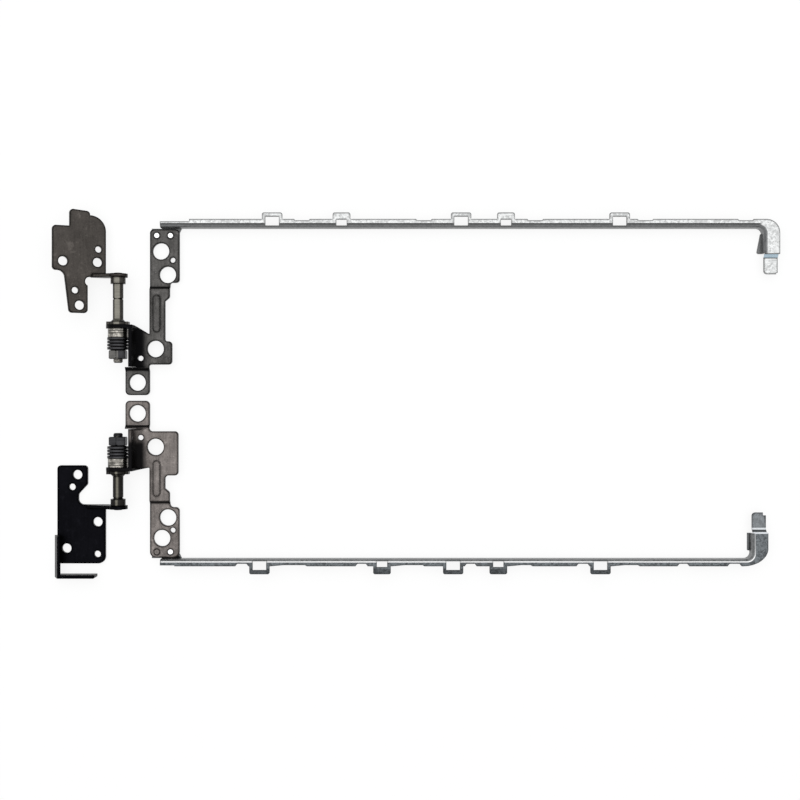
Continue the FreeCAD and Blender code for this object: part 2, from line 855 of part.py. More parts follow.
def make_rivet(side, number):
    """A short rivet with a flat head that stands slightly proud."""
    body = new_body(side, f"rail_rivet_{number}")
    across, out = rivet_places(side)[number - 1]
    radius = size("rivet_diameter") / 2
    top = size("rail_sheet") + size("bracket_sheet") + size("rivet_proud")
    sketch = new_sketch(body, "Profile", "XZ_Plane", -side.out * out)
    draw_outline(sketch, [(across, 0.0), (across + radius, 0.0), (across + radius, top - size("rivet_proud")),
                          (across + radius - size("rivet_proud"), top), (across, top)])
    turned = body.newObject("PartDesign::Revolution", "Turned")
    turned.Profile = sketch
    turned.ReferenceAxis = (sketch, ["Edge5"])
    turned.Angle = 360.0
    doc.recompute()
    place(body, side, 0.0)


def make_rail(side):
    """A folded strip: flange with clip tabs on top, web below, a hooked far end and a tab under the land."""
    body = new_body(side, "rail")
    thick = size("rail_sheet")
    top = size("rail_height")
    face = rail_face(side)
    start = size("rail_start")
    finish = start + side.size("rail_length")
    step = start + side.size("rail_step")
    hook_face = finish - size("hook_width")
    outer = face + size("flange_width")
    flange = new_sketch(body, "Flange", "XY_Plane", top - thick)
    outline = [
        (start, face), (start, face + size("end_flange_width")), (step, face + size("end_flange_width")),
        (step, outer), (finish, outer), (finish, face - size("hook_joggle")),
        (hook_face, face - size("hook_joggle")), (hook_face, face),
    ]
    draw_outline(flange, plan(side, outline))
    add_pad(body, flange, thick)
    web = new_sketch(body, "Web", "XY_Plane")
    web_end = face - size("hook_web_end")
    draw_outline(web, plan(side, [(start, face), (start, face + thick), (hook_face + thick, face + thick),
                                  (hook_face + thick, web_end), (hook_face, web_end), (hook_face, face)]))
    add_pad(body, web, top)
    round_edges(body, upright_at(*plan(side, [(finish, outer)])), size("hook_radius"))
    round_edges(body, upright_at(*plan(side, [(hook_face, face)])), size("hook_bend_radius"))
    round_edges(body, upright_at(*plan(side, [(hook_face + thick, face + thick)])),
                size("hook_bend_radius") + thick)
    fold = fold_at(side, top, face, hook_face, size("hook_bend_radius"))
    round_edges(body, fold, size("rail_bend_radius"))
    add_clips(body, side, start, face)
    add_rivet_tab(body, side, face)
    add_hook_tip(body, side, finish, face)
    place(body, side, 0.0)


def fold_at(side, level, out, across, corner):
    """A test for the edges of a fold at one height: along the run, round the corner and down the hook."""
    height = level.value
    run = out.value * side.out
    leg = across.value
    reach = corner.value

    def test(edge):
        box = edge.BoundBox
        if abs(box.ZMin - height) > MATCH or abs(box.ZMax - height) > MATCH:
            return False
        along_run = abs(box.YMin - run) < MATCH and abs(box.YMax - run) < MATCH
        round_corner = edge.Length < 2 * reach and abs(box.XMax - leg) < MATCH and box.XLength > MATCH
        along_leg = abs(box.XMin - leg) < MATCH and abs(box.XMax - leg) < MATCH
        return along_run or round_corner or along_leg

    return test


def add_clips(body, side, start, face):
    """Loop tabs and lock tabs stand out from the flange, each with a window, between slope-ended notches."""
    thick = size("rail_sheet")
    level = size("rail_height") - thick
    loops = [start + side.size(f"loop_{name}") for name in ("near", "middle", "far")]
    locks = [start + side.size(f"lock_{name}") for name in ("near", "far")]
    tabs = new_sketch(body, "Clips", "XY_Plane", level)
    inner = face + size("flange_width") - size("notch_depth")
    outer = face + size("clip_reach")
    for centres, width in ((loops, size("loop_width")), (locks, size("lock_width"))):
        for centre in centres:
            draw_box(tabs, centre - width / 2, centre + width / 2, side.out * inner, side.out * outer)
    add_pad(body, tabs, thick)
    cuts = new_sketch(body, "Windows", "XY_Plane", level)
    kinds = ((loops, size("loop_window_width"), size("loop_window_reach")),
             (locks, size("lock_window_width"), size("lock_window_reach")))
    for centres, width, reach in kinds:
        for centre in centres:
            draw_box(cuts, centre - width / 2, centre + width / 2,
                     side.out * (face + size("window_start")), side.out * (face + reach))
    edge = face + size("flange_width")
    half = side.size("notch_width") / 2
    depth = size("notch_depth")
    for name in ("first", "second", "third", "fourth", "fifth"):
        centre = start + side.size(f"notch_{name}")
        notch = [(centre - half + depth, edge - depth), (centre + half - depth, edge - depth),
                 (centre + half + depth, edge + depth), (centre - half - depth, edge + depth)]
        draw_outline(cuts, plan(side, notch))
    cut_depth(body, cuts, thick, backward=True)
    ends = []
    for centres, width in ((loops, size("loop_width")), (locks, size("lock_width"))):
        for centre in centres:
            ends.append((centre - width / 2, outer))
            ends.append((centre + width / 2, outer))
    round_edges(body, upright_at(*plan(side, ends)), thick)


def add_rivet_tab(body, side, face):
    """The web's foot folds in under the display bracket's land and is riveted there."""
    thick = size("rail_sheet")
    left = size("rivet_near_across") - size("rivet_diameter")
    right = size("land_right") - size("rivet_tab_inset")
    slant = right + size("rivet_tab_slant")
    inner = face - size("rivet_tab_depth")
    start = size("rail_start")
    tab = new_sketch(body, "RivetTab", "XY_Plane")
    draw_outline(tab, plan(side, [(left, inner), (right, inner), (slant, face + thick), (start, face + thick),
                                  (start, face), (left, face)]))
    add_pad(body, tab, thick)
    holes = new_sketch(body, "RivetHoles", "XY_Plane")
    for across, out in rivet_places(side):
        draw_circle(holes, across, side.out * out, size("rivet_diameter") + 2 * size("key_gap"))
    cut_depth(body, holes, thick, backward=True)


def add_hook_tip(body, side, finish, face):
    """The hook's end steps down in a joggle to a notched tip, beside a small lug at the web's foot."""
    thick = size("rail_sheet")
    top = size("rail_height")
    drop = size("hook_drop")
    bend = face - size("hook_joggle")
    flat = bend - size("hook_joggle_run")
    end = face - size("hook_reach")
    left = finish - size("hook_width")
    section = new_sketch(body, "HookTip", "YZ_Plane", left)
    draw_outline(section, [(side.out * along, level) for along, level in (
        (bend, top), (flat, top - drop), (end, top - drop), (end, top - drop - thick),
        (flat, top - drop - thick), (bend, top - thick))])
    add_pad(body, section, size("hook_tip_width"))
    right = left + size("hook_tip_width")
    round_edges(body, upright_at(*plan(side, [(left, end)])), size("corner_radius"))
    notch = side.size("tip_notch")
    corner = new_sketch(body, "TipNotch", "XY_Plane")
    draw_box(corner, right - notch, right + notch, side.out * (end - notch), side.out * (end + notch))
    cut_through(body, corner)
    lug = new_sketch(body, "HookLug", "XY_Plane")
    base = face - size("hook_web_end")
    root = (left - size("hook_lug_depth"), base)
    end = (left - side.size("lug_end_depth"), base + side.size("lug_length"))
    draw_outline(lug, plan(side, [(left + thick, base), root, end, (left + thick, end[1])]))
    add_pad(body, lug, thick)
    round_edges(body, upright_at(*plan(side, [root])), size("hook_lug_corner_radius"))
    round_edges(body, upright_at(*plan(side, [end])), side.size("lug_end_radius"))


def make_base_bracket(side, corners, soft, arcs):
    """A flat plate below the shaft's line with an upright ear that the shaft is riveted into."""
    body = new_body(side, "base_bracket")
    thick = size("bracket_sheet")
    foot = -size("axis_height")
    plate = new_sketch(body, "Plate", "XY_Plane", foot)
    draw_outline(plate, plan(side, corners))
    add_pad(body, plate, thick)
    for spots, radius in arcs:
        round_edges(body, upright_at(*plan(side, spots)), radius)
    round_edges(body, upright_at(*plan(side, soft)), size("corner_radius"))
    inner = side.size("shaft_reach") + size("collar_length")
    radius = size("base_ear_radius")
    root = side.size("ear_root")
    near = side.size("plate_near")
    web = ear_sketch(body, "EarWeb", side, inner)
    draw_outline(web, [(-root, foot), (-near, foot), (0.0, -radius), (0.0, radius),
                       (-root, foot + 2 * thick)])
    pad_outward(body, web, side, thick)
    ring = ear_sketch(body, "EarRing", side, inner)
    draw_circle(ring, 0.0, 0.0, 2 * radius)
    pad_outward(body, ring, side, thick)
    bore = ear_sketch(body, "ShaftHole", side, 0.0)
    draw_circle(bore, 0.0, 0.0, size("tenon_diameter") + 2 * size("key_gap"))
    cut_through(body, bore)
    holes = new_sketch(body, "Holes", "XY_Plane", foot)
    for letters, diameter in (("abc", "screw"), ("ab", "pin")):
        for letter in letters:
            draw_circle(holes, -side.size(f"{diameter}_{letter}_across"),
                        side.out * side.size(f"{diameter}_{letter}_out"), side.size(f"{diameter}_diameter"))
    cut_depth(body, holes, thick, backward=True)
    return body


def make_left_base():
    side = LEFT
    ear = side.size("shaft_reach") + size("collar_length")
    near = -side.size("plate_near")
    far = -side.size("plate_far")
    lobe_near = -side.size("plate_lobe_near")
    lobe_far = -side.size("plate_lobe_far")
    leg_near = -side.size("leg_near")
    leg_far = -side.size("leg_far")
    leg_tip_far = -side.size("leg_tip_far")
    relief = side.size("relief_depth")
    foot = side.size("plate_foot")
    shoulder = side.size("plate_shoulder")
    top = side.size("plate_end")
    slant_top = top - side.size("plate_end_slant")
    leg_end = side.size("leg_end")
    root = -side.size("ear_root")
    arc_end = side.size("plate_arc_end")
    bulge = near - lobe_near
    arc_start = arc_end + bulge
    corners = [
        (near, ear), (near, arc_end, (near - bulge, arc_end), 1), (lobe_near, arc_start),
        (lobe_near, slant_top), (lobe_far, top), (lobe_far, shoulder), (far, shoulder), (far, foot),
        (leg_far, foot),
        (leg_tip_far, leg_end), (leg_near, leg_end),
        (leg_near, ear - relief, ((leg_near + root) / 2, ear - relief / 2), -1), (root, ear),
    ]
    soft = [(lobe_near, slant_top), (lobe_far, top), (far, shoulder), (far, foot), (leg_tip_far, leg_end),
            (leg_near, leg_end)]
    body = make_base_bracket(side, corners, soft, [([(leg_far, foot)], side.size("leg_fillet_radius"))])
    place(body, side, size("axis_height"), side.size("base_angle"))


def make_right_base():
    side = RIGHT
    ear = side.size("shaft_reach") + size("collar_length")
    near = -side.size("plate_near")
    far = -side.size("plate_far")
    end = side.size("plate_end")
    lobe_start = side.size("plate_lobe_start")
    lobe_near = -side.size("plate_lobe_near")
    lobe_end = side.size("plate_lobe_end")
    neck = -side.size("neck_near")
    neck_start = side.size("neck_start")
    root = -side.size("ear_root")
    corners = [
        (near, ear), (near, end), (far, end), (far, lobe_start), (lobe_near, lobe_start),
        (lobe_near, lobe_end), (neck, neck_start), (neck, ear), (root, ear),
    ]
    soft = [(far, lobe_start), (lobe_near, lobe_start), (lobe_near, lobe_end)]
    arcs = [([(near, end)], side.size("plate_corner_radius")),
            ([(neck, neck_start), (neck, ear)], side.size("neck_radius"))]
    body = make_base_bracket(side, corners, soft, arcs)
    add_flange(body, side, far, end)
    place(body, side, size("axis_height"), side.size("base_angle"))


def add_flange(body, side, far, end):
    """A wall that leans in along the plate's far edge, and a return that runs back beside the plate."""
    thick = size("bracket_sheet")
    foot = -size("axis_height")
    outside = far - thick
    back = end + size("flange_return_gap") + thick
    top = foot + size("flange_height")
    lean = size("flange_lean")
    wall = ear_sketch(body, "Flange", side, size("flange_start"))
    draw_outline(wall, [(outside, foot), (far, foot), (far + lean, top), (outside + lean, top)])
    pad_outward(body, wall, side, back - size("flange_start"))
    tip = outside + size("flange_return_reach")
    strip = ear_sketch(body, "FlangeReturn", side, back - thick)
    draw_outline(strip, [(outside, foot), (tip, foot), (tip, top), (outside + lean, top)])
    pad_outward(body, strip, side, thick)
    round_edges(body, upright_at(*plan(side, [(tip, back)])), thick / 2)


def make_hinge(side):
    make_display_bracket(side)
    make_rail(side)
    for number in (1, 2):
        make_rivet(side, number)
    make_shaft(side)
    make_stop_washer(side)
    make_washer(side, "ear_washer", STACK["ear_washer"], size("thin_washer_thick"), keyed=False)
    make_washer(side, "shaft_washer", STACK["shaft_washer"], size("thin_washer_thick"), keyed=True)
    make_washer(side, "pressure_washer", STACK["pressure_washer"], size("pressure_washer_thick"), keyed=True)
    for number in range(1, SPRING_COUNT + 1):
        make_disc_spring(side, number)
    make_lock_nut(side)


def check_document():
    doc.recompute()
    for item in doc.Objects:
        if "Invalid" in item.State or "Error" in item.State:
            raise RuntimeError(f"{item.Label} ({item.Name}) failed: {item.State}")
    bodies = [item for item in doc.Objects if item.TypeId == "PartDesign::Body"]
    for body in bodies:
        if body.Shape.isNull() or not body.Shape.isValid() or len(body.Shape.Solids) != 1:
            raise RuntimeError(f"{body.Label} has no valid single solid")
    return bodies


make_left_base()
make_right_base()
for hinge in (LEFT, RIGHT):
    make_hinge(hinge)
pieces = check_document()
os.makedirs("parts", exist_ok=True)
for piece in pieces:
    piece.Shape.exportStep(f"parts/{piece.Label}.step")
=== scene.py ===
import json
import math

import bmesh
import bpy
import numpy as np
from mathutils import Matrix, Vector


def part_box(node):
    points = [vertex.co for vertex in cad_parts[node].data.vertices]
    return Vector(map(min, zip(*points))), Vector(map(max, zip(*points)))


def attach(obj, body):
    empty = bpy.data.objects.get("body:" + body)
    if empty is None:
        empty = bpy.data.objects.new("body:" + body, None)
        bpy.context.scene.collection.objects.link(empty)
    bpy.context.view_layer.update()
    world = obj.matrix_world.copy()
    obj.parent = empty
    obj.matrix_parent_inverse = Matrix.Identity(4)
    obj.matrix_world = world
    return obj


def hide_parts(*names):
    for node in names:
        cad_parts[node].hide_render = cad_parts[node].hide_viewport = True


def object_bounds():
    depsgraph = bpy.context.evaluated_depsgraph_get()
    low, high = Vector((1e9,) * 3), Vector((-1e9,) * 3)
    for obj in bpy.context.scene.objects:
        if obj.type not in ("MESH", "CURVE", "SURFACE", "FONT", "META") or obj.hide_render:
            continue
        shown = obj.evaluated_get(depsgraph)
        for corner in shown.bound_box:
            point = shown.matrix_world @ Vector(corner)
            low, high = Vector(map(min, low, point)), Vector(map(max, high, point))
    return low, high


bl_info = {
    "name": "Laptop hinge pair",
    "version": (1, 0, 0),
    "blender": (4, 5, 0),
    "location": "3D View > Sidebar > Hinges",
    "description": "Finishes, threads, a notched rail edge and a studio for a pair of laptop lid hinges",
    "category": "Object",
}

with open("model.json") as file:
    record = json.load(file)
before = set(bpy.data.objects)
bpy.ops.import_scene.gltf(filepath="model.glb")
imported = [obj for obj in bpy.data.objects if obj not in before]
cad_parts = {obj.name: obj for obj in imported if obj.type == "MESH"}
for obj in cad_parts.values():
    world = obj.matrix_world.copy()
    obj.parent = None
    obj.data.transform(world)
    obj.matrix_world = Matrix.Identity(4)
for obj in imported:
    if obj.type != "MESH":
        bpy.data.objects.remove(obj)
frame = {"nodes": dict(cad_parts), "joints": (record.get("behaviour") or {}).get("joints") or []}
CAD_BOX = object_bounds()
NODES = frame["nodes"]
MM = 0.001
WATERTIGHT = 0.001 * MM
SHARP_ANGLE = math.radians(30)

SIDES = ("left", "right")
SPRINGS = tuple(f"disc_spring_{number}" for number in range(1, 5))
RIVETS = tuple(f"rail_rivet_{number}" for number in (1, 2))
DARK_RIVET = "right_rail_rivet_1"

BLACK = (0.003, 0.003, 0.0035, 1.0)
WHITE = (1.0, 1.0, 1.0, 1.0)
FLOOR_TONES = ((0.90, 0.90, 0.90, 1.0), (0.93, 0.93, 0.93, 1.0))

# Places along the right rail, from its start: the runs of its flange between the clip tabs, the long recesses
# behind the tabs and the short notches. The last run ends where the hook's corner starts.
RIGHT_LENGTH = 206 * MM
RIGHT_RUNS = tuple((start * MM, end * MM) for start, end in (
    (4.0, 30.27), (37.13, 72.22), (78.18, 95.87), (102.73, 111.62), (117.58, 145.77), (152.63, 197.5)))
RIGHT_RECESSES = tuple((start * MM, end * MM) for start, end in (
    (37.4, 49.8), (78.5, 89.6), (117.9, 126.2), (153.0, 162.5)))
RIGHT_NOTCHES = tuple((start * MM, end * MM) for start, end in (
    (25.5, 30.0), (66.2, 70.4), (103.2, 107.3), (141.0, 145.5), (175.2, 179.3), (192.2, 197.0)))
CORNER_STEPS = 17

# Half width of the crease on each side of a hook's joggle.
CREASE = {"left": 0.16 * MM, "right": 0.30 * MM}
# Half width of the painted highlight along a shaft, and the width over which it fades.
SHAFT_STRIP = {"left": (0.85 * MM, 0.20 * MM), "right": (0.15 * MM, 0.45 * MM)}


def named(*pieces):
    """The frame's nodes for the given pieces, on both hinges."""
    return [NODES[f"{side}_{piece}"] for side in SIDES for piece in pieces]


def shaft_line(side):
    """A point of a hinge's shaft line, from its joint."""
    joint = next(item for item in frame["joints"] if item["child"] == f"{side}_base")
    return joint["pos_m"]


def colour(name, description, default):
    """A colour setting, in linear light."""
    return bpy.props.FloatVectorProperty(
        name=name, description=description, default=default, subtype="COLOR", size=3, min=0.0, max=1.0)


def length(name, description, default):
    """A length setting, in metres."""
    return bpy.props.FloatProperty(
        name=name, description=description, default=default, subtype="DISTANCE", unit="LENGTH", precision=5)


def amount(name, description, default):
    """A plain number setting."""
    return bpy.props.FloatProperty(name=name, description=description, default=default)


class HingeFinishes(bpy.types.PropertyGroup):
    """Colours of the plated and turned pieces, and of the painted shade and painted highlights on them."""

    left_zinc: colour("Left zinc", "Bright zinc plating of the left rail", (0.515, 0.523, 0.523))
    # Left fold is painted shade on the left rail's band, fold and web; left fold line is a darker painted shade
    # line along that band.
    left_fold: colour("Left fold", "Dull zinc on the left rail's band, fold and web", (0.165, 0.168, 0.171))
    left_fold_line: colour("Left fold line", "Dark line along the left rail's dull band", (0.030, 0.031, 0.031))
    # Left joggle is a painted reflection, a bluish sheen on the hook's joggle.
    left_joggle: colour("Left joggle", "Sheen on the joggle of the left rail's hook", (0.47, 0.60, 0.69))
    right_zinc: colour("Right zinc", "Grey zinc plating of the right rail", (0.112, 0.123, 0.131))
    # Right fold is painted light on the right rail's fold and web; right fold line is a painted highlight where
    # the fold starts; right joggle is a painted highlight on the hook's creases.
    right_fold: colour("Right fold", "Zinc on the right rail's fold and web", (0.185, 0.190, 0.193))
    right_fold_line: colour("Right fold line", "Rubbed line where the right fold starts", (0.88, 0.88, 0.88))
    right_joggle: colour("Right joggle", "Rubbed creases of the right rail's hook", (0.50, 0.52, 0.54))
    left_bracket: colour("Left bracket", "Dark nickel on the left display bracket", (0.061, 0.059, 0.057))
    right_bracket: colour("Right bracket", "Dark nickel on the right display bracket", (0.120, 0.108, 0.102))
    left_base: colour("Left base", "Brown-grey plating of the left base plate", (0.051, 0.046, 0.042))
    right_base: colour("Right base", "Black plating of the right base plate", (0.0034, 0.0034, 0.0045))
    left_shaft: colour("Left shaft", "Oiled steel of the left shaft, stop washer", (0.046, 0.043, 0.039))
    right_shaft: colour("Right shaft", "Oiled steel of the right shaft, stop washer", (0.018, 0.017, 0.016))
    # Left flat and right flat are painted highlights along the shafts.
    left_flat: colour("Left flat", "Bright strip along the left shaft", (0.145, 0.139, 0.120))
    right_flat: colour("Right flat", "Rubbed line along the right shaft", (0.110, 0.104, 0.086))
    washer: colour("Washer", "Ground steel of the washers and the left thread", (0.38, 0.362, 0.328))
    # This colour is the painted lit side of the left lock nut.
    left_nut_lit_side: colour("Left nut", "Worn side of the left lock nut", (0.150, 0.147, 0.140))
    oxide: colour("Oxide", "Black oxide of the springs, nuts and right thread", (0.046, 0.046, 0.049))
    rivet: colour("Rivet", "Bright steel of the rivets", (0.80, 0.80, 0.80))


class HingeSizes(bpy.types.PropertyGroup):
    """Sizes of the threads, and of the zones and lines in the finishes, among them the painted shade and
    highlights.
    """

    thread_radius: length("Thread radius", "Outer radius of the plain shaft under the thread", 1.5 * MM)
    thread_pitch: length("Thread pitch", "Distance from one thread crest to the next", 0.50 * MM)
    thread_depth: length("Thread depth", "Height of the thread's crests", 0.11 * MM)
    thread_chamfer: length("Thread chamfer", "Length of the plain chamfer at the thread's tip", 0.30 * MM)
    edge_round: length("Edge rounding", "Radius of the softened edges of sheet and turned pieces", 0.14 * MM)
    grain_depth: length("Grain depth", "Height of the grain in the platings and steels", 0.05 * MM)
    # These three reaches set the painted shade along the cut edges of plates and rails and along the edges of
    # turned pieces.
    plate_edge_shade: length("Plate line", "Reach of the darker line along the plates' cut edges", 1.3 * MM)
    rail_edge_shade: length("Rail line", "Reach of the darker line along the rails' cut edges", 1.0 * MM)
    ring_edge_shade: length("Ring line", "Reach of the darker line along the turned pieces' edges", 0.6 * MM)
    # The next six sizes place the painted shade and painted highlights on the rails' folds and the left
    # flange's band.
    fold_start: length("Fold start", "Drop from a rail's upper face where its fold starts", 0.03 * MM)
    fold_line: length("Fold line", "Drop where the line along the right rail's fold ends", 0.15 * MM)
    band_start: length("Band start", "From the left clip tabs' ends to the flange's dull band", 3.62 * MM)
    band_line: length("Band line", "Width of the dark line along the dull band", 0.46 * MM)
    run_end: length("Run end", "From the left hook's outer side to the end of the dull band", 7.4 * MM)
    run_fade: length("Run fade", "Length over which the dull band fades at the hook", 1.6 * MM)
    tab_reach: length("Tab reach", "Reach of the right rail's clip tabs past its flange", 1.9 * MM)
    tip_length: length("Tip length", "Length of the flat tip of a rail's hook", 5.5 * MM)
    joggle_length: length("Joggle length", "Length of the joggle behind the tip", 1.3 * MM)
    land_height: length("Land height", "Height of a display bracket's ends, at the upper face", 1.9 * MM)
    strip_height: length("Strip height", "Height of a display bracket's middle, at the upper face", 2.9 * MM)
    # The next four sizes place the black painted shade on the display brackets' wings.
    wing_reach: length("Wing reach", "Distance from the shaft to the end of the black wing", 10.2 * MM)
    wing_fade: length("Wing fade", "Width over which the black of the wing fades", 2.6 * MM)
    right_black: length("Right black", "Distance along the right shaft to the end of the black", 10.7 * MM)
    right_fade: length("Right fade", "Length over which the right wing's black fades", 3.0 * MM)
    flat_height: length("Flat height", "Distance from the shaft's line to its flats", 1.47 * MM)


class HingeFlange(bpy.types.PropertyGroup):
    """Cuts in the right rail: the edge of its flange, the hook's corner and the flap inside the hook."""

    clip_reach: length("Clip reach", "From the clip tabs' ends to the solid flange's edge", 2.2 * MM)
    trim: length("Trim", "How far the edge lies inside the solid's edge", 0.5 * MM)
    recess: length("Recess", "Depth of the long shallow recesses behind the clip tabs", 0.40 * MM)
    recess_slope: length("Recess slope", "Length of the slope from a clip tab into a recess", 4.5 * MM)
    notch: length("Notch", "Depth of the short notches", 0.85 * MM)
    slope: length("Slope", "Length of the other sloped ends", 0.7 * MM)
    corner_long: length("Corner along", "Reach of the hook's rounded corner along the rail", 8.52 * MM)
    corner_wide: length("Corner across", "Reach of the hook's rounded corner across the rail", 6.0 * MM)
    cut_below: length("Cut below", "Drop from the flange's upper face to the cut's lower end", 1.5 * MM)
    flap_edge: length("Flap edge", "From the hook's outer side to the edge of the flap", 6.05 * MM)
    flap_cut: length("Flap cut", "Width of the cut that takes the flap back to its edge", 1.2 * MM)
    flap_start: length("Flap start", "From the clip tabs' ends to the cut at the flap", 6.85 * MM)
    flap_run: length("Flap run", "Length of the cut at the flap, across the rail", 7.0 * MM)
    flap_height: length("Flap height", "Height of the cut at the flap over the rail's lower edge", 1.0 * MM)


class HingeStudio(bpy.types.PropertyGroup):
    """Camera, floor and light."""

    camera_height: length("Camera height", "Height of the camera over the floor", 420 * MM)
    camera_across: length("Camera across", "Camera's place along the rails", -5.3 * MM)
    camera_along: length("Camera along", "Camera's place along the shafts", -1.85 * MM)
    camera_near: length("Camera near", "Distance at which the camera starts to see", 10 * MM)
    lens: amount("Lens", "Focal length of the camera, in millimetres", 55.24)
    sensor: amount("Sensor", "Width of the camera's sensor, in millimetres", 36.0)
    floor_reach: length("Floor reach", "Half the width of the floor", 6.0)
    floor_white: amount("Floor white", "How much of the floor's white doesn't depend on the light", 0.85)
    lamp_watts: amount("Lamp power", "Power of the soft light overhead, in watts", 12.0)
    lamp_size: length("Lamp size", "Width of the soft light overhead", 2.0)
    lamp_height: length("Lamp height", "Height of the soft light overhead", 1.1)
    lamp_across: length("Lamp across", "Lamp's place along the rails", -0.05)
    lamp_along: length("Lamp along", "Lamp's place along the shafts", 0.35)
    sky_zenith: amount("Sky overhead", "Brightness of the studio overhead", 0.95)
    sky_horizon: amount("Sky at the horizon", "Brightness of the studio at the horizon", 0.10)


class Wire:
    """One socket of a node tree. Arithmetic on it adds Math nodes, and node() adds any other node."""

    def __init__(self, tree, socket=None):
        self.tree = tree
        self.socket = socket

    def node(self, kind, settings=None, inputs=None, output=0):
        """Add a node: its settings come first, then the values or links of its sockets."""
        item = self.tree.nodes.new(kind)
        for name, value in (settings or {}).items():
            setattr(item, name, value)
        for name, value in (inputs or {}).items():
            socket = item.inputs[name]
            if isinstance(value, Wire):
                self.tree.links.new(value.socket, socket)
            else:
                socket.default_value = value
        return Wire(self.tree, item.outputs[output]) if len(item.outputs) else item

    def math(self, operation, *terms, clamp=False):
        """One Math node on these terms."""
        settings = {"operation": operation, "use_clamp": clamp}
        return self.node("ShaderNodeMath", settings, dict(enumerate(terms)))

    def __add__(self, other):
        return self.math("ADD", self, other)

    def __sub__(self, other):
        return self.math("SUBTRACT", self, other)

    def __mul__(self, other):
        return self.math("MULTIPLY", self, other)

    def __rsub__(self, other):
        return self.math("SUBTRACT", other, self)

    __radd__ = __add__
    __rmul__ = __mul__

    def __abs__(self):
        return self.math("ABSOLUTE", self)

    def clamp(self):
        """This value, kept between 0 and 1."""
        return self.math("MULTIPLY", self, 1.0, clamp=True)

    def ramp(self, low, high):
        """Map low..high to 0..1 with soft ends."""
        return self.node("ShaderNodeMapRange", {"interpolation_type": "SMOOTHSTEP"},
                         {"Value": self, "From Min": low, "From Max": high})

    def window(self, low, high, soft):
        """1 between low and high, falling to 0 over the soft width on both sides."""
        return self.ramp(low - soft, low) * (1.0 - self.ramp(high, high + soft))

    def axis(self, name):
        """One coordinate of this vector."""
        return self.node("ShaderNodeSeparateXYZ", {}, {"Vector": self}, output=name)

    def noise(self, scale, detail=3.0, stretch=(1.0, 1.0, 1.0)):
        """Noise of this vector, with features about 1/scale across; stretch squeezes it along an axis."""
        vector = self.node("ShaderNodeMapping", {"vector_type": "POINT"}, {"Vector": self, "Scale": stretch})
        return self.node("ShaderNodeTexNoise", {"noise_dimensions": "3D"},
                         {"Vector": vector, "Scale": scale, "Detail": detail, "Roughness": 0.6})

    def cells(self, scale):
        """A random grey for each cell of a crystal pattern."""
        colours = self.node("ShaderNodeTexVoronoi", {"feature": "F1"},
                            {"Vector": self, "Scale": scale}, output="Color")
        return self.node("ShaderNodeSeparateColor", {}, {"Color": colours})

    def mix(self, first, second):
        """Blend two colours by this factor. The Mix node's colour sockets have numbers only."""
        factor, colour_a, colour_b, result = 0, 6, 7, 2
        return self.node("ShaderNodeMix", {"data_type": "RGBA"},
                         {factor: self, colour_a: first, colour_b: second}, output=result)

    def over(self, ground, paint, share=1.0):
        """Lay a paint colour over a ground where this mask is 1, at the given share."""
        return (share * self).mix(ground, paint)

    def seen(self):
        """1 for what the camera sees by itself, in gloss or through glass, and 0 for what only lights."""
        path = self.node("ShaderNodeLightPath").socket.node
        camera, glossy, through = (Wire(self.tree, path.outputs[f"Is {kind} Ray"])
                                   for kind in ("Camera", "Glossy", "Transmission"))
        return (camera + glossy + through).clamp()

    def edges(self, width):
        """1 on sharp edges, falling to 0 inside the width: where a rounded normal leaves the true one."""
        rounded = self.node("ShaderNodeBevel", {"samples": 8}, {"Radius": width})
        true = self.node("ShaderNodeNewGeometry", output="True Normal")
        agree = self.node("ShaderNodeVectorMath", {"operation": "DOT_PRODUCT"},
                          {0: rounded, 1: true}, output="Value")
        return 1.0 - agree.ramp(low=0.92, high=0.999)


def either(first, second):
    """The union of two masks."""
    return 1.0 - (1.0 - first) * (1.0 - second)


def tinted(base, factor=1.0):
    """A colour made lighter or darker, as a shader value."""
    return tuple(min(1.0, part * factor) for part in base) + (1.0,)


def new_finish(name):
    """An empty material and the wire of its Object coordinates."""
    material = bpy.data.materials.new(name)
    material.use_nodes = True
    material.node_tree.nodes.clear()
    start = Wire(material.node_tree)
    return material, start.node("ShaderNodeTexCoord", output="Object")


def close_finish(place, base, roughness, metallic, grain, strength):
    """Wire colour, roughness and grain into one Principled shader with softened edges."""
    sizes = bpy.context.scene.hinge_sizes
    rounded = place.node("ShaderNodeBevel", {"samples": 6}, {"Radius": sizes.edge_round})
    normal = place.node("ShaderNodeBump", {}, {
        "Height": grain, "Strength": strength, "Distance": sizes.grain_depth, "Normal": rounded})
    shader = place.node("ShaderNodeBsdfPrincipled", {}, {
        "Base Color": base, "Roughness": roughness, "Metallic": metallic, "Normal": normal})
    place.node("ShaderNodeOutputMaterial", {}, {"Surface": shader})


